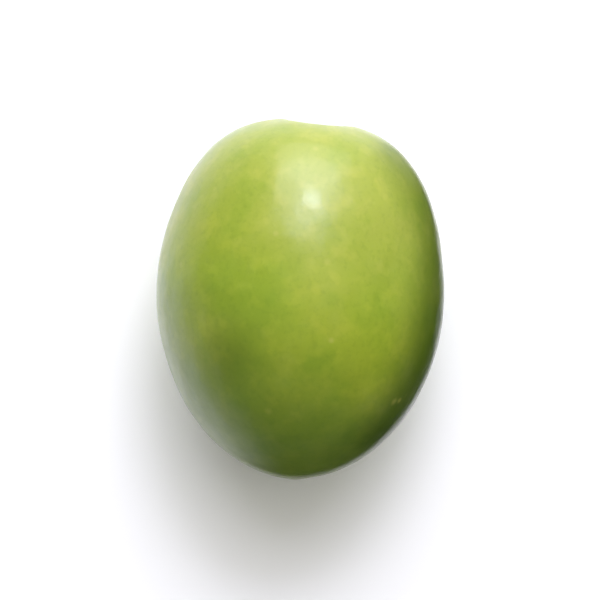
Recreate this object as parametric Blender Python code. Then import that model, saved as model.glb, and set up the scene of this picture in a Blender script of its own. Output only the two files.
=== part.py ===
"""A large round-oval green table olive, lying on its side as it comes to rest on a flat surface.

Metres, +Z up. The fruit lies along X with its stem end at +X, on a small flat spot at z = 0, and
the origin is under the middle of its bounding box. It grew as one piece, so it is one solid: an
oval that is blunt at the stem end, with the hollow that the stalk left there, and that tapers to
the blossom end, with the small nub that the flower left.
"""

from math import acos, atan2, cos, exp, hypot, pi, radians, sin

import bmesh
import bpy
from mathutils import Matrix, Vector

# Driving dimensions of the oval
LENGTH = 0.0275             # blossom end to the rim of the stem cavity
WIDTH = 0.0220              # across the thickest ring
THICKEST_AT = 0.48          # share of the length from the stem end to the thickest ring
SHOULDER_FULLNESS = 0.55    # added to the oval's exponent of 2 at the stem end, which makes it blunt
TIP_TAPER = 0.06            # taken from the exponent at the blossom end, which draws it in

# How the fruit departs from a true oval
BELLY_SAG = 0.00018         # how far the middle hangs below the line through the two ends
SHOULDER_LEAN = 0.00050     # how much further the +Y shoulder reaches than the middle
UPPER_LEAN = 0.00070        # how much further the upper shoulder reaches than the middle
RIB_COUNT = 3               # broad ribs round the girth, felt rather than seen
RIB_HEIGHT = 0.00007
RIB_PHASE = radians(35)
DENT_DEPTH = 0.00016        # of the soft flats that make the skin uneven
DENT_SPREAD = radians(27)
DENT_DIRECTIONS = (         # from the fruit's centre; x towards the stem end
    Vector((0.10, -0.62, 0.78)),
    Vector((-0.42, 0.80, 0.30)),
    Vector((0.30, 0.55, -0.72)),
)

# Stem cavity, with one steep and one gentle side, and the stalk's scar at its bottom
CAVITY_RADIUS = 0.0031
CAVITY_DEPTH = 0.0017
CAVITY_SKEW = 0.20          # share by which the gentle side is wider than the mean, the steep narrower
CAVITY_STEEP_SIDE = radians(-20)    # round the axis, from +Y towards +Z
CAVITY_OVAL = 0.16          # share by which it is longer upright than across
SCAR_RADIUS = 0.00085
SCAR_HEIGHT = 0.00022
STEM_END_SHIFT = Vector((0.0, -0.00045, 0.00010))   # of the cavity from the oval's axis

# Nub that the flower left at the blossom end
NUB_RADIUS = 0.00070
NUB_HEIGHT = 0.00010

# How the fruit lies
STEM_END_RISE = radians(3)
FLAT_SPOT_DEPTH = 0.00020   # taken off the underside, which gives a flat about 5 mm long

# Mesh
MERIDIANS = 76
RINGS = 44
END_CROWDING = 0.58         # 0 spaces the rings evenly, 1 gathers them fully at the two ends

OLIVE_GREEN = (0.300, 0.400, 0.045, 1.0)
SKIN_ROUGHNESS = 0.34

HALF_WIDTH = WIDTH / 2
STEM_HALF_LENGTH = THICKEST_AT * LENGTH
TIP_HALF_LENGTH = (1 - THICKEST_AT) * LENGTH - NUB_HEIGHT


def remove_all_objects():
    for old in list(bpy.data.objects):
        bpy.data.objects.remove(old, do_unlink=True)


def crowd_to_ends(direction):
    """Slide a direction along its meridian, so that the rings lie closer at both ends."""
    polar = acos(max(-1.0, min(1.0, direction.x)))
    polar -= END_CROWDING * sin(2 * polar) / 2
    around = atan2(direction.z, direction.y)
    return Vector((cos(polar), sin(polar) * cos(around), sin(polar) * sin(around)))


def oval_radius(direction):
    """Distance from the centre to the oval: a superellipse whose exponent changes end to end."""
    exponent = 2 + SHOULDER_FULLNESS * max(direction.x, 0) ** 2 - TIP_TAPER * max(-direction.x, 0) ** 2
    half_length = STEM_HALF_LENGTH if direction.x > 0 else TIP_HALF_LENGTH
    along = abs(direction.x) / half_length
    across = hypot(direction.y, direction.z) / HALF_WIDTH
    return (along ** exponent + across ** exponent) ** (-1 / exponent)


def dent_depth(direction):
    """How far the soft flats press the skin in."""
    pressed = 0.0
    for middle in DENT_DIRECTIONS:
        pressed += DENT_DEPTH * exp(-(direction.angle(middle) / DENT_SPREAD) ** 2)
    return pressed


def rib_height(direction):
    """Height of the broad ribs, which fade out towards the ends."""
    around = atan2(direction.z, direction.y)
    return RIB_HEIGHT * cos(RIB_COUNT * around + RIB_PHASE) * (1 - direction.x ** 2)


def stem_cavity(y, z):
    """Height of the skin along the axis, over the uncut end, in the hollow and on its scar."""
    from_axis = hypot(y, z)
    side = atan2(z, y)
    reach = CAVITY_RADIUS * (1 - CAVITY_SKEW * cos(side - CAVITY_STEEP_SIDE) - CAVITY_OVAL * cos(2 * side))
    height = 0.0
    if from_axis < reach:
        height -= CAVITY_DEPTH * (1 - (from_axis / reach) ** 2) ** 2
    if from_axis < SCAR_RADIUS:
        height += SCAR_HEIGHT * (1 - (from_axis / SCAR_RADIUS) ** 4)
    return height


def skin_point(direction):
    """Place of the skin in a direction from the fruit's centre, with the axis along X."""
    point = direction * (oval_radius(direction) - dent_depth(direction) + rib_height(direction))
    endness = direction.x ** 2
    if direction.x > 0:
        lean = SHOULDER_LEAN * point.y + UPPER_LEAN * point.z
        point.x += endness * lean / HALF_WIDTH + stem_cavity(point.y, point.z)
        point += endness * STEM_END_SHIFT
    else:
        point.x -= NUB_HEIGHT * exp(-(hypot(point.y, point.z) / NUB_RADIUS) ** 2)
    point.z += BELLY_SAG * endness
    return point


def lay_down(bm):
    """Raise the stem end, cut the flat spot and set the fruit on z = 0 over the origin."""
    bmesh.ops.rotate(bm, verts=bm.verts, matrix=Matrix.Rotation(-STEM_END_RISE, 3, 'Y'))
    flat_level = min(vert.co.z for vert in bm.verts) + FLAT_SPOT_DEPTH
    everything = bm.verts[:] + bm.edges[:] + bm.faces[:]
    cut = bmesh.ops.bisect_plane(bm, geom=everything, plane_co=(0, 0, flat_level),
                                 plane_no=(0, 0, 1), clear_inner=True)
    rim = [item for item in cut['geom_cut'] if isinstance(item, bmesh.types.BMEdge)]
    bmesh.ops.edgeloop_fill(bm, edges=rim)
    for edge in rim:
        edge.smooth = False
    xs = [vert.co.x for vert in bm.verts]
    ys = [vert.co.y for vert in bm.verts]
    to_origin = (-(min(xs) + max(xs)) / 2, -(min(ys) + max(ys)) / 2, -flat_level)
    bmesh.ops.translate(bm, verts=bm.verts, vec=to_origin)


def skin_material():
    material = bpy.data.materials.new("olive_skin")
    material.use_nodes = True
    shader = material.node_tree.nodes["Principled BSDF"]
    shader.inputs["Base Color"].default_value = OLIVE_GREEN
    shader.inputs["Roughness"].default_value = SKIN_ROUGHNESS
    shader.inputs["Metallic"].default_value = 0.0
    material.diffuse_color = OLIVE_GREEN
    return material


def make_olive(collection):
    bm = bmesh.new()
    bmesh.ops.create_uvsphere(bm, u_segments=MERIDIANS, v_segments=RINGS, radius=1.0,
                              matrix=Matrix.Rotation(pi / 2, 4, 'Y'))
    for vert in bm.verts:
        vert.co = skin_point(crowd_to_ends(vert.co.normalized()))
    for face in bm.faces:
        face.smooth = True
    lay_down(bm)
    bmesh.ops.recalc_face_normals(bm, faces=bm.faces)
    mesh = bpy.data.meshes.new("olive")
    bm.to_mesh(mesh)
    bm.free()
    mesh.materials.append(skin_material())
    olive = bpy.data.objects.new("olive", mesh)
    collection.objects.link(olive)
    return olive


def main():
    remove_all_objects()
    collection = bpy.data.collections.new("olive")
    bpy.context.scene.collection.children.link(collection)
    make_olive(collection)


main()
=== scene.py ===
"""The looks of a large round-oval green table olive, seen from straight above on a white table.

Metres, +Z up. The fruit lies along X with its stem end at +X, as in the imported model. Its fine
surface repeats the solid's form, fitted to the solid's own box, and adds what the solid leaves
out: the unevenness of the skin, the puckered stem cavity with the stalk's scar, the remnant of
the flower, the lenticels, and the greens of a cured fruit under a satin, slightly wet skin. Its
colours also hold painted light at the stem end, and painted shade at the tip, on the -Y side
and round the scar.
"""

from math import radians

import bmesh
import bpy
import numpy as np
from mathutils import Matrix, Vector, noise


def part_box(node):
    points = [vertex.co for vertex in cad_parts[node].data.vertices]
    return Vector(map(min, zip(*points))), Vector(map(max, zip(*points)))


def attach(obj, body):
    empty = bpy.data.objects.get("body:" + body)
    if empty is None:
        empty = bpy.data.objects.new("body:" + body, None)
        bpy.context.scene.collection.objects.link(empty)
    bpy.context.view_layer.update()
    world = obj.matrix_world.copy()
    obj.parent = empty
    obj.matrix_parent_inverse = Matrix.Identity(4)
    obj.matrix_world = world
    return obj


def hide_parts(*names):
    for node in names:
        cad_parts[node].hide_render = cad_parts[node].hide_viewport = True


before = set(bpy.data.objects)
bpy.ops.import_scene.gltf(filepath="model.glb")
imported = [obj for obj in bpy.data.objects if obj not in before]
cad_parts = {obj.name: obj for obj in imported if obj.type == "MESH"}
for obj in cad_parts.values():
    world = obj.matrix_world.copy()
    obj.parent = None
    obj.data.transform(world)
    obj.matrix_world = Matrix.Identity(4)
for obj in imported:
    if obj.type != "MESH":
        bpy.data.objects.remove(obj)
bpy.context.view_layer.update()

OLIVE_LOW, OLIVE_HIGH = (np.array(corner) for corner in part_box("olive"))
LENGTH, WIDTH, HEIGHT = OLIVE_HIGH - OLIVE_LOW
MM = 0.001

# The oval, as in the solid
THICKEST_AT = 0.48
SHOULDER_FULLNESS = 0.55
TIP_TAPER = 0.06
BELLY_SAG = 0.18 * MM
SHOULDER_LEAN = 0.50 * MM
UPPER_LEAN = 0.70 * MM
RIB_COUNT = 3
RIB_HEIGHT = 0.07 * MM
RIB_PHASE = radians(35)
DENT_DEPTH = 0.16 * MM
DENT_SPREAD = radians(27)
DENT_DIRECTIONS = ((0.10, -0.62, 0.78), (-0.42, 0.80, 0.30), (0.30, 0.55, -0.72))
CAVITY_RADIUS = 3.1 * MM
CAVITY_DEPTH = 1.7 * MM
CAVITY_SKEW = 0.20
CAVITY_STEEP_SIDE = radians(-20)
CAVITY_OVAL = 0.16
SCAR_RADIUS = 0.85 * MM
SCAR_HEIGHT = 0.22 * MM
STEM_END_SHIFT = np.array((0.0, -0.45, 0.10)) * MM
NUB_RADIUS = 0.70 * MM
NUB_HEIGHT = 0.10 * MM
STEM_END_RISE = radians(3)
FLAT_SPOT_DEPTH = 0.20 * MM

HALF_WIDTH = WIDTH / 2
STEM_HALF_LENGTH = THICKEST_AT * LENGTH
TIP_HALF_LENGTH = (1 - THICKEST_AT) * LENGTH - NUB_HEIGHT

# Finer surface
CELLS = 126                 # along each edge of the cube that the fruit's mesh starts from
END_CROWDING = 0.40         # 0 keeps the mesh even, 1 gathers it fully at the two ends
SKIN_WAVES = (              # size and height of the soft swells, the faint ripples and the fine peel
    (5.5 * MM, 0.045 * MM),
    (1.7 * MM, 0.028 * MM),
    (0.75 * MM, 0.010 * MM),
)
FLAT_SPOT_SOFTNESS = 0.06 * MM
CAVITY_SOFTNESS = 1.18      # how much wider the hollow starts than in the solid, for a softer rim
FOLD_COUNT = 9
FOLD_HEIGHT = 0.055 * MM
FOLD_WANDER = 1.7           # how far the folds stray from even spacing, in radians of their wave
FOLD_VARIATION = 0.8        # share by which the tallest and the lowest differ from the mean
FOLDS_TALLEST_AT = -2.6     # radians round the axis
FINE_FOLD_COUNT = 16
FINE_FOLD_SHARE = 0.7       # of the height of the others
FINE_FOLD_WANDER = 2.3
SCAR_WAVES = (              # bulges round its edge: their count, share of its radius, and turn
    (3, 0.09, 0.6),
    (7, 0.05, 0.0),
)
SCAR_EDGE = (0.72, 1.12)    # shares of its radius between which it ends
SCAR_MOAT_SHADE_AT = 1.15          # share of its radius where the painted shade in the moat round it is darkest
SCAR_MOAT_SHADE_BREADTH = 0.22
SCAR_PIT_REACH = 0.5
SCAR_PIT_DEPTH = 0.12 * MM
SCAR_GRAIN_SIZE = 0.30 * MM
SCAR_GRAIN_HEIGHT = 0.07 * MM
NUB_WAVES = (
    (2, 0.10, 0.5),
    (3, 0.07, 0.0),
)
FLANK_FADE = (0.2, 0.6)     # how far a direction leaves the axis where the painted shade on the flank sets in

# Greens of the skin, and painted light and shade. A zone says where its colour begins and where it
# is full, and its share at these two places if they aren't 0 and 1.
FRESH_GREEN = (0.250, 0.350, 0.020, 1)
YELLOW_GREEN = (0.308, 0.375, 0.020, 1)
YELLOW_ZONE = (0.36, 0.66)
# Partly the skin's paler stem end, partly painted light: paler and bluer towards the stem end, which
# faces the light
STEM_END_PALE_AND_LIT_GREEN = (0.345, 0.395, 0.062, 1)
STEM_END_PALE_AND_LIT_ZONE = (2.5 * MM, 16 * MM, 0.0, 0.90)
# Painted shade: darker towards the blossom end, which faces away from the light
TIP_SHADE_GREEN = (0.128, 0.205, 0.013, 1)
TIP_SHADE_ZONE = (5.5 * MM, -7.5 * MM, 0.0, 0.86)
# Painted shade: darker green on the -Y side
SHADED_SIDE_GREEN = (0.096, 0.158, 0.006, 1)
SHADED_SIDE_ZONE = (-5.0 * MM, -9.2 * MM, 0.0, 0.90)
BLOOM_GREEN = (0.345, 0.400, 0.110, 1)
BLOOM_ZONE = (0.5, 0.8, 0.0, 0.12)
ALONG_SLANT = -0.35         # how much further the tip's painted shade reaches up the +Y side, per metre of Y
ALONG_DRIFT = 9 * MM        # how far the greens along the fruit wander
ACROSS_SLANT = 0.29         # how the painted shade of the -Y side leans to the blossom end, per metre of X
ACROSS_BEND = -16.0         # how it closes in round the two ends, per square metre of X
ACROSS_DRIFT = 4 * MM

# Tints, which multiply the colour beneath
# Painted shade: darkens the -Y flank along its rim
FLANK_SHADE_TINT = (0.62, 0.69, 0.50, 1)
FLANK_SHADE_ZONE = (0.83, 1.16)
FLANK_BEND = 1500.0         # how the painted shade on the flank widens towards the two ends, per square metre of X
FLANK_DRIFT = 0.3
CLOUD_TINT = (0.72, 0.77, 0.62, 1)
CLOUD_MIDDLE = (-4.4 * MM, 5.1 * MM, 19.6 * MM)
CLOUD_ZONE = (5.0 * MM, 1.4 * MM)
CLOUD_DRIFT = 2.5 * MM
PATCH_TINT = (0.84, 0.92, 0.76, 1)
PATCH_ZONE = (0.48, 0.72)
FLECK_TINT = (1.13, 1.07, 1.20, 1)
FLECK_ZONE = (0.46, 0.70)
GRAIN_TINT = (0.90, 0.93, 0.90, 1)
GRAIN_ZONE = (0.45, 0.75)

# Small marks
LENTICEL = (0.450, 0.440, 0.090, 1)
LENTICEL_MIDDLE = 0.02      # share of their spacing over which each is even
LENTICELS = (               # spacing, reach as a share of it, and strength
    (2.3 * MM, 0.15, 0.55),
    (5.3 * MM, 0.09, 0.75),
)
LENTICEL_CHOICE = (0.15, 0.85)      # each one's own random value, from not shown to fully shown
CAVITY_GREEN = (0.270, 0.330, 0.040, 1)
CAVITY_ZONE = (0.05, 0.9, 0.0, 0.70)
SCAR_TAN = (0.380, 0.290, 0.120, 1)
SCAR_BROWN = (0.200, 0.130, 0.050, 1)
SCAR_SHARE = 0.9
SCAR_FIBRE_SIZE = 0.22 * MM
SCAR_FIBRE_ZONE = (0.35, 0.65)
# Partly a brownish ring, partly painted shade in the moat round the scar
SCAR_MOAT_BROWN_AND_SHADE = (0.150, 0.120, 0.030, 1)
SCAR_MOAT_SHADE_SHARE = 0.7
NUB_BROWN = (0.120, 0.085, 0.025, 1)
NUB_ZONE = (0.75, 1.15, 0.0, 0.8)
NUB_GRAIN = 0.4             # how far the skin's grain frays the nub's edge

# Noise of the skin: size, detail and roughness
BROAD_NOISE = (9 * MM, 1.5)
PATCH_NOISE = (3.4 * MM, 3.0, 0.55)
FLECK_NOISE = (1.3 * MM, 2.0, 0.5)
GRAIN_NOISE = (0.45 * MM, 3.0, 0.6)
BLOOM_NOISE = (4.5 * MM, 4.0, 0.6)
PORE_NOISE = (0.45 * MM, 3.0, 0.55)
PORE_DEPTH = 0.02 * MM
GLOSS_ZONE = (0.35, 0.75, 0.30, 0.44)   # roughness 0.30 to 0.44, as the bloom on the skin thickens

# Table, camera and light
TABLE_REACH = 1.5           # from its middle to each edge
TABLE_WHITE = (0.93, 0.93, 0.93, 1)
TABLE_GREY = (0.50, 0.50, 0.50, 1)
TABLE_FALLOFF = (28 * MM, 90 * MM)      # distances from the fruit's middle
STAGE_ROUGHNESS = 0.75
FILL_OF_FRAME = 0.60        # share of the picture's height that the fruit's length takes
CAMERA_DISTANCE = 0.45
LENS_SENSOR = 36.0
AXIS_LEAN = radians(2)      # of the fruit's axis from upright in the picture, clockwise
CARD_FROM = radians(15)     # bearings from the stem end, clockwise in the picture
CARD_TO = radians(225)
CARD_END_FADE = 0.20        # share of the card's length over which it fades out at either end
CARD_TOP_FADE = 0.55        # shares of its height over which it fades out at the top and foot
CARD_FOOT_FADE = 0.16
CARD_GAP = 4 * MM
CARD_HEIGHT = 32 * MM
CARD_STEPS = 48
CARD_ROWS = 12
CARD_COLOUR = (0.03, 0.045, 0.01, 1)
WINDOW_COLOUR = (0.90, 0.91, 1.09)
WALL_COLOUR = (1.0, 0.985, 0.93)
ROOM_COLOUR = (1.0, 0.975, 0.92, 1)
ROOM_STRENGTH = 0.22


def add_object(name, data):
    added = bpy.data.objects.new(name, data)
    bpy.context.scene.collection.objects.link(added)
    return added


def quad_sphere(cells):
    """A cube cut into even cells and blown up to a unit sphere, whose faces stay nearly square."""
    bm = bmesh.new()
    bmesh.ops.create_cube(bm, size=2.0)
    bmesh.ops.subdivide_edges(bm, edges=bm.edges[:], cuts=cells - 1, use_grid_fill=True)
    mesh = bpy.data.meshes.new("olive_skin")
    bm.to_mesh(mesh)
    bm.free()
    return mesh


def read_points(mesh):
    flat = np.empty(len(mesh.vertices) * 3, dtype=np.float32)
    mesh.vertices.foreach_get("co", flat)
    return flat.reshape(-1, 3).astype(float)


def write_points(mesh, points):
    mesh.vertices.foreach_set("co", points.astype(np.float32).ravel())
    mesh.update()


def write_attribute(mesh, name, values):
    written = mesh.attributes.new(name, 'FLOAT', 'POINT')
    written.data.foreach_set("value", values.astype(np.float32))


def smooth_step(edge0, edge1, values):
    t = np.clip((values - edge0) / (edge1 - edge0), 0, 1)
    return t * t * (3 - 2 * t)


def cube_to_directions(points):
    """Unit directions from the points of the cut cube, spread evenly and then crowded to both ends."""
    even = np.tan(points * np.pi / 4)
    even /= np.linalg.norm(even, axis=1, keepdims=True)
    polar = np.arccos(np.clip(even[:, 0], -1, 1))
    polar -= END_CROWDING * np.sin(2 * polar) / 2
    around = np.arctan2(even[:, 2], even[:, 1])
    from_axis = np.sin(polar)
    return np.stack([np.cos(polar), from_axis * np.cos(around), from_axis * np.sin(around)], axis=1)


def oval_radius(d):
    """Distance from the centre to the oval: a superellipse whose exponent changes end to end."""
    stemward = np.maximum(d[:, 0], 0) ** 2
    tipward = np.maximum(-d[:, 0], 0) ** 2
    exponent = 2 + SHOULDER_FULLNESS * stemward - TIP_TAPER * tipward
    half_length = np.where(d[:, 0] > 0, STEM_HALF_LENGTH, TIP_HALF_LENGTH)
    along = np.abs(d[:, 0]) / half_length
    across = np.hypot(d[:, 1], d[:, 2]) / HALF_WIDTH
    return (along ** exponent + across ** exponent) ** (-1 / exponent)


def dent_depth(d):
    """How far the soft flats press the skin in."""
    pressed = np.zeros(len(d))
    for middle in DENT_DIRECTIONS:
        middle = np.array(middle) / np.linalg.norm(middle)
        angle = np.arccos(np.clip(d @ middle, -1, 1))
        pressed += DENT_DEPTH * np.exp(-(angle / DENT_SPREAD) ** 2)
    return pressed


def rib_height(d):
    """Height of the broad ribs, which fade out towards the ends."""
    around = np.arctan2(d[:, 2], d[:, 1])
    return RIB_HEIGHT * np.cos(RIB_COUNT * around + RIB_PHASE) * (1 - d[:, 0] ** 2)


def unevenness(d):
    """Height of the skin's soft swells, faint ripples and fine peel."""
    heights = np.zeros(len(d))
    for i, direction in enumerate(d):
        place = Vector(direction) * HALF_WIDTH
        for size, height in SKIN_WAVES:
            heights[i] += height * noise.noise(place / size)
    return heights


def flank_share(d):
    """Mask of painted shade: how far round from the top or the belly towards the -Y side, fading at both
    ends.
    """
    from_axis = np.hypot(d[:, 1], d[:, 2])
    return np.maximum(-d[:, 1], 0) / np.maximum(from_axis, 0.001) * smooth_step(*FLANK_FADE, from_axis)


def uneven_ring(side, waves):
    """Factor close to 1 for a radius in the given directions round the axis."""
    return 1 + sum(share * np.cos(count * side + turn) for count, share, turn in waves)


def fold_height(side):
    """Height of the folds round the hollow, which differ in spacing and height."""
    folds = np.cos(FOLD_COUNT * side + FOLD_WANDER * np.sin(2 * side))
    folds *= 1 + FOLD_VARIATION * np.cos(side - FOLDS_TALLEST_AT)
    fine_folds = np.cos(FINE_FOLD_COUNT * side + FINE_FOLD_WANDER * np.cos(side)) * (1 + np.sin(3 * side))
    return FOLD_HEIGHT * (folds + FINE_FOLD_SHARE * fine_folds)


def scar_grain(y, z):
    """Height of the torn fibres on the scar."""
    places = np.stack([y, z, np.zeros_like(y)], axis=1) / SCAR_GRAIN_SIZE
    near = np.hypot(y, z) < 2 * SCAR_RADIUS
    heights = np.zeros(len(y))
    heights[near] = [SCAR_GRAIN_HEIGHT * noise.noise(Vector(place)) for place in places[near]]
    return heights


def stem_cavity(y, z):
    """Height of the skin along the axis in the hollow and on its scar, with masks of them and of the
    painted shade round the scar.
    """
    from_axis = np.hypot(y, z)
    side = np.arctan2(z, y)
    skew = CAVITY_SKEW * np.cos(side - CAVITY_STEEP_SIDE)
    reach = CAVITY_SOFTNESS * CAVITY_RADIUS * (1 - skew - CAVITY_OVAL * np.cos(2 * side))
    hollow = np.clip(1 - (from_axis / reach) ** 2, 0, 1) ** 3
    on_scar = from_axis / (SCAR_RADIUS * uneven_ring(side, SCAR_WAVES))
    scar = 1 - smooth_step(*SCAR_EDGE, on_scar)
    pit = 1 - smooth_step(0, SCAR_PIT_REACH, on_scar)
    halfway = 4 * hollow * (1 - hollow)
    height = -CAVITY_DEPTH * hollow + halfway * (1 - scar) * fold_height(side)
    height += scar * (SCAR_HEIGHT + scar_grain(y, z)) - SCAR_PIT_DEPTH * pit
    scar_moat_shade = np.exp(-((on_scar - SCAR_MOAT_SHADE_AT) / SCAR_MOAT_SHADE_BREADTH) ** 2)
    return height, {"hollow": hollow, "scar": scar, "scar_moat_shade": scar_moat_shade}


def flower_remnant(y, z):
    """Share of the nub's height over the blossom end, whose foot is uneven."""
    reach = NUB_RADIUS * uneven_ring(np.arctan2(z, y), NUB_WAVES)
    return np.exp(-(np.hypot(y, z) / reach) ** 2)


def skin_points(d):
    """Places of the skin in directions from the fruit's centre, with the masks of its features and of
    painted shade.
    """
    points = d * (oval_radius(d) - dent_depth(d) + rib_height(d) + unevenness(d))[:, None]
    endness = d[:, 0] ** 2
    stem = d[:, 0] > 0
    relief, masks = stem_cavity(points[:, 1], points[:, 2])
    lean = SHOULDER_LEAN * points[:, 1] + UPPER_LEAN * points[:, 2]
    nub = np.where(stem, 0, flower_remnant(points[:, 1], points[:, 2]))
    points[:, 0] += np.where(stem, endness * lean / HALF_WIDTH + relief, -NUB_HEIGHT * nub)
    points += np.where(stem, endness, 0)[:, None] * STEM_END_SHIFT
    points[:, 2] += BELLY_SAG * endness
    masks = {name: np.where(stem, values, 0) for name, values in masks.items()}
    return points, {**masks, "nub": nub, "flank": flank_share(d)}


def lay_down(points):
    """Raise the stem end, press the flat spot and fit the fruit to the solid's box."""
    points = points @ np.array(Matrix.Rotation(-STEM_END_RISE, 3, 'Y')).T
    points[:, 2] -= points[:, 2].min() + FLAT_SPOT_DEPTH
    points[:, 2] = (points[:, 2] + np.hypot(points[:, 2], FLAT_SPOT_SOFTNESS)) / 2
    low, high = points.min(axis=0), points.max(axis=0)
    return OLIVE_LOW + (points - low) * (OLIVE_HIGH - OLIVE_LOW) / (high - low)


def add_material(name):
    """A new material, with its node tree and its shader."""
    material = bpy.data.materials.new(name)
    material.use_nodes = True
    return material, material.node_tree, material.node_tree.nodes["Principled BSDF"]


def add_node(tree, kind, **settings):
    node = tree.nodes.new(kind)
    for name, value in settings.items():
        setattr(node, name, value)
    return node


def feed(tree, socket, given):
    """Link a socket to another node's output, or set it to a constant."""
    if isinstance(given, bpy.types.NodeSocket):
        tree.links.new(given, socket)
    else:
        socket.default_value = given


def attribute(tree, name):
    return add_node(tree, "ShaderNodeAttribute", attribute_name=name).outputs["Fac"]


def noise_node(tree, place, size, detail=2.0, roughness=0.5):
    node = add_node(tree, "ShaderNodeTexNoise")
    settings = {"Vector": place, "Scale": 1 / size, "Detail": detail, "Roughness": roughness}
    for name, given in settings.items():
        feed(tree, node.inputs[name], given)
    return node.outputs["Fac"]


def math_node(tree, operation, *given):
    node = add_node(tree, "ShaderNodeMath", operation=operation)
    for socket, value in zip(node.inputs, given):
        feed(tree, socket, value)
    return node.outputs[0]


def vector_node(tree, operation, *given):
    node = add_node(tree, "ShaderNodeVectorMath", operation=operation)
    for socket, value in zip(node.inputs, given):
        feed(tree, socket, value)
    return node.outputs["Value"]


def remap(tree, value, low, high, to_low=0.0, to_high=1.0):
    node = add_node(tree, "ShaderNodeMapRange", interpolation_type='SMOOTHSTEP')
    limits = {"From Min": low, "From Max": high, "To Min": to_low, "To Max": to_high}
    for name, given in {"Value": value, **limits}.items():
        feed(tree, node.inputs[name], given)
    return node.outputs["Result"]


def mix_colour(tree, factor, first, second, blend='MIX'):
    node = add_node(tree, "ShaderNodeMix", data_type='RGBA', blend_type=blend)
    given = {"Factor": factor, "A": first, "B": second}
    for socket in node.inputs:
        if socket.enabled and socket.name in given:
            feed(tree, socket, given[socket.name])
    return next(socket for socket in node.outputs if socket.enabled)


def skin_greens_light_and_shade(tree, place, broad):
    """Greens that drift along the fruit, painted light at the stem end, painted shade at tip and -Y
    flank.
    """
    axes = add_node(tree, "ShaderNodeSeparateXYZ")
    feed(tree, axes.inputs[0], place)
    x, y = axes.outputs["X"], axes.outputs["Y"]
    x_squared = math_node(tree, 'MULTIPLY', x, x)
    along = math_node(tree, 'MULTIPLY_ADD', broad, ALONG_DRIFT, x)
    along = math_node(tree, 'MULTIPLY_ADD', y, ALONG_SLANT, along)
    across = math_node(tree, 'MULTIPLY_ADD', x, ACROSS_SLANT, y)
    across = math_node(tree, 'MULTIPLY_ADD', broad, ACROSS_DRIFT, across)
    across = math_node(tree, 'MULTIPLY_ADD', x_squared, ACROSS_BEND, across)
    flank = math_node(tree, 'MULTIPLY_ADD', broad, FLANK_DRIFT, attribute(tree, "flank"))
    flank = math_node(tree, 'MULTIPLY_ADD', x_squared, FLANK_BEND, flank)

    # Random yellowing, painted light at the stem end, painted shade at the tip, the -Y side and the
    # flank's rim
    colour = mix_colour(tree, remap(tree, broad, *YELLOW_ZONE), FRESH_GREEN, YELLOW_GREEN)
    colour = mix_colour(tree, remap(tree, along, *STEM_END_PALE_AND_LIT_ZONE), colour, STEM_END_PALE_AND_LIT_GREEN)
    colour = mix_colour(tree, remap(tree, along, *TIP_SHADE_ZONE), colour, TIP_SHADE_GREEN)
    colour = mix_colour(tree, remap(tree, across, *SHADED_SIDE_ZONE), colour, SHADED_SIDE_GREEN)
    return mix_colour(tree, remap(tree, flank, *FLANK_SHADE_ZONE), colour, FLANK_SHADE_TINT, 'MULTIPLY')


def add_mottling(tree, place, bloom, grain, colour):
    """One darker cloud, and the bloom, patches, flecks and grain all over."""
    patches = noise_node(tree, place, *PATCH_NOISE)
    flecks = noise_node(tree, place, *FLECK_NOISE)
    cloud = vector_node(tree, 'DISTANCE', place, CLOUD_MIDDLE)
    cloud = math_node(tree, 'MULTIPLY_ADD', patches, CLOUD_DRIFT, cloud)
    colour = mix_colour(tree, remap(tree, cloud, *CLOUD_ZONE), colour, CLOUD_TINT, 'MULTIPLY')
    colour = mix_colour(tree, remap(tree, bloom, *BLOOM_ZONE), colour, BLOOM_GREEN)
    for mottling, zone, tint in (
        (patches, PATCH_ZONE, PATCH_TINT),
        (flecks, FLECK_ZONE, FLECK_TINT),
        (grain, GRAIN_ZONE, GRAIN_TINT),
    ):
        colour = mix_colour(tree, remap(tree, mottling, *zone), colour, tint, 'MULTIPLY')
    return colour


def add_lenticels(tree, place, colour):
    """Small pale dots of two spacings, of which only some show clearly."""
    for spacing, reach, strength in LENTICELS:
        dots = add_node(tree, "ShaderNodeTexVoronoi")
        feed(tree, dots.inputs["Vector"], place)
        feed(tree, dots.inputs["Scale"], 1 / spacing)
        dot = remap(tree, dots.outputs["Distance"], LENTICEL_MIDDLE, reach, strength, 0.0)
        own_strength = remap(tree, dots.outputs["Color"], *LENTICEL_CHOICE)
        colour = mix_colour(tree, math_node(tree, 'MULTIPLY', dot, own_strength), colour, LENTICEL)
    return colour


def add_ends(tree, place, grain, colour):
    """The stem cavity with the stalk's scar and the painted shade round it, and the remnant of the
    flower.
    """
    colour = mix_colour(tree, remap(tree, attribute(tree, "hollow"), *CAVITY_ZONE), colour, CAVITY_GREEN)
    # Painted shade in the moat round the scar, in a brownish tint
    scar_moat_shade = math_node(tree, 'MULTIPLY', attribute(tree, "scar_moat_shade"), SCAR_MOAT_SHADE_SHARE)
    colour = mix_colour(tree, scar_moat_shade, colour, SCAR_MOAT_BROWN_AND_SHADE)
    fibres = remap(tree, noise_node(tree, place, SCAR_FIBRE_SIZE), *SCAR_FIBRE_ZONE)
    scar = math_node(tree, 'MULTIPLY', attribute(tree, "scar"), SCAR_SHARE)
    colour = mix_colour(tree, scar, colour, mix_colour(tree, fibres, SCAR_TAN, SCAR_BROWN))
    nub = math_node(tree, 'MULTIPLY_ADD', grain, NUB_GRAIN, attribute(tree, "nub"))
    return mix_colour(tree, remap(tree, nub, *NUB_ZONE), colour, NUB_BROWN)


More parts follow.
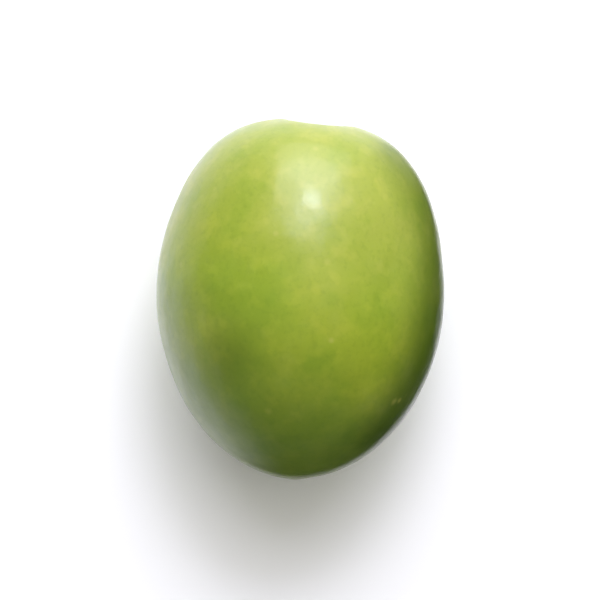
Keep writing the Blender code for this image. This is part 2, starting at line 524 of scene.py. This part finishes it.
def skin_material():
    """Satin, slightly translucent skin under a thin wet film, with fine pores."""
    material, tree, shader = add_material("olive_skin")
    place = add_node(tree, "ShaderNodeTexCoord").outputs["Object"]
    bloom = noise_node(tree, place, *BLOOM_NOISE)
    grain = noise_node(tree, place, *GRAIN_NOISE)
    colour = skin_greens_light_and_shade(tree, place, noise_node(tree, place, *BROAD_NOISE))
    colour = add_mottling(tree, place, bloom, grain, colour)
    colour = add_lenticels(tree, place, colour)
    feed(tree, shader.inputs["Base Color"], add_ends(tree, place, grain, colour))

    feed(tree, shader.inputs["Roughness"], remap(tree, bloom, *GLOSS_ZONE))
    shader.inputs["Subsurface Weight"].default_value = 0.25
    shader.inputs["Subsurface Radius"].default_value = (0.9, 1.0, 0.25)
    shader.inputs["Subsurface Scale"].default_value = 1.6 * MM
    shader.inputs["IOR"].default_value = 1.45
    shader.inputs["Coat Weight"].default_value = 0.50
    shader.inputs["Coat Roughness"].default_value = 0.18
    shader.inputs["Coat IOR"].default_value = 1.5

    bump = add_node(tree, "ShaderNodeBump")
    bump.inputs["Strength"].default_value = 0.5
    bump.inputs["Distance"].default_value = PORE_DEPTH
    feed(tree, bump.inputs["Height"], noise_node(tree, place, *PORE_NOISE))
    feed(tree, shader.inputs["Normal"], bump.outputs["Normal"])
    feed(tree, shader.inputs["Coat Normal"], bump.outputs["Normal"])
    return material


def make_olive():
    mesh = quad_sphere(CELLS)
    points, masks = skin_points(cube_to_directions(read_points(mesh)))
    write_points(mesh, lay_down(points))
    for name, values in masks.items():
        write_attribute(mesh, name, values)
    mesh.shade_smooth()
    mesh.materials.append(skin_material())
    olive = add_object("olive_skin", mesh)
    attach(olive, "root")
    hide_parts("olive")


def add_stage_piece(name, corners, faces):
    """A matt piece of the studio, with its material's node tree and shader."""
    mesh = bpy.data.meshes.new(name)
    mesh.from_pydata(corners, [], faces)
    material, tree, shader = add_material(name)
    shader.inputs["Roughness"].default_value = STAGE_ROUGHNESS
    mesh.materials.append(material)
    piece = add_object(name, mesh)
    return piece, tree, shader


def make_table():
    """White round the fruit, and falling off to grey outside the picture."""
    corners = [(TABLE_REACH * x, TABLE_REACH * y, 0) for x, y in ((-1, -1), (1, -1), (1, 1), (-1, 1))]
    _, tree, shader = add_stage_piece("table", corners, [(0, 1, 2, 3)])
    place = add_node(tree, "ShaderNodeTexCoord").outputs["Object"]
    greyness = remap(tree, vector_node(tree, 'LENGTH', place), *TABLE_FALLOFF)
    feed(tree, shader.inputs["Base Color"], mix_colour(tree, greyness, TABLE_WHITE, TABLE_GREY))


def make_card():
    """Dark card bent round the -Y side, which shows only in the reflections on that flank."""
    steps, rows = np.linspace(0, 1, CARD_STEPS + 1), np.linspace(0, 1, CARD_ROWS + 1)
    along, up = np.meshgrid(steps, rows, indexing='ij')
    bearing = CARD_FROM + along * (CARD_TO - CARD_FROM)
    x = (LENGTH / 2 + CARD_GAP) * np.cos(bearing)
    y = -(WIDTH / 2 + CARD_GAP) * np.sin(bearing)
    corners = np.stack([x, y, CARD_HEIGHT * up], axis=-1).reshape(-1, 3)
    row = CARD_ROWS + 1
    faces = [(i * row + j, (i + 1) * row + j, (i + 1) * row + j + 1, i * row + j + 1)
             for i in range(CARD_STEPS) for j in range(CARD_ROWS)]
    card, tree, shader = add_stage_piece("dark_card", corners.tolist(), faces)
    cover = smooth_step(0, CARD_END_FADE, along) * smooth_step(0, CARD_END_FADE, 1 - along)
    cover *= smooth_step(0, CARD_TOP_FADE, 1 - up) * smooth_step(0, CARD_FOOT_FADE, up)
    write_attribute(card.data, "cover", cover.ravel())
    feed(tree, shader.inputs["Alpha"], attribute(tree, "cover"))
    shader.inputs["Base Color"].default_value = CARD_COLOUR
    card.visible_camera = False
    card.visible_diffuse = False
    card.visible_shadow = False


def add_lamp(name, kind, towards, colour):
    """A lamp that shines on the fruit from a direction, with its light."""
    light = bpy.data.lights.new(name, kind)
    light.color = colour
    lamp = add_object(name, light)
    lamp.rotation_euler = Vector(towards).to_track_quat('Z', 'Y').to_euler()
    return lamp, light


def add_sun(name, towards, breadth, strength, colour=(1, 1, 1), mirrored=True):
    """Light from a round patch of the given breadth, far off in a direction."""
    lamp, light = add_lamp(name, 'SUN', towards, colour)
    light.angle = breadth
    light.energy = strength
    lamp.visible_glossy = mirrored


def add_window(name, towards, distance, width, height, radiance):
    """Light from an upright oblong, with its long side level, facing the fruit."""
    lamp, light = add_lamp(name, 'AREA', towards, WINDOW_COLOUR)
    light.shape = 'RECTANGLE'
    light.size = width
    light.size_y = height
    light.energy = radiance * np.pi * width * height
    lamp.location = Vector(towards).normalized() * distance
    lamp.visible_camera = False


def make_lights():
    add_sun("bright_wall", (0.74, -0.30, 0.60), radians(104), 1.11, WALL_COLOUR, mirrored=False)
    add_sun("ceiling", (0.05, 0.0, 1.0), radians(60), 0.67, WALL_COLOUR, mirrored=False)
    add_sun("window_foot", (0.93, -0.08, 0.36), radians(56), 1.38)
    add_sun("window_glow", (0.72, -0.03, 0.695), radians(58), 1.70, WINDOW_COLOUR)
    add_window("window", (0.575, -0.085, 0.82), distance=1.0, width=0.28, height=0.17, radiance=13.5)
    world = bpy.data.worlds.new("white_room")
    world.use_nodes = True
    background = world.node_tree.nodes["Background"]
    background.inputs["Color"].default_value = ROOM_COLOUR
    background.inputs["Strength"].default_value = ROOM_STRENGTH
    bpy.context.scene.world = world


def make_camera():
    camera = bpy.data.cameras.new("camera")
    camera.sensor_width = LENS_SENSOR
    seen = LENGTH / FILL_OF_FRAME
    camera.lens = LENS_SENSOR * (CAMERA_DISTANCE - HEIGHT / 2) / seen
    camera.clip_start = 0.01
    eye = add_object("camera", camera)
    eye.location = (0, 0, CAMERA_DISTANCE)
    eye.rotation_euler = (0, 0, radians(-90) + AXIS_LEAN)
    bpy.context.scene.camera = eye
    bpy.context.scene.view_settings.view_transform = 'Standard'


make_olive()
make_table()
make_card()
make_lights()
make_camera()
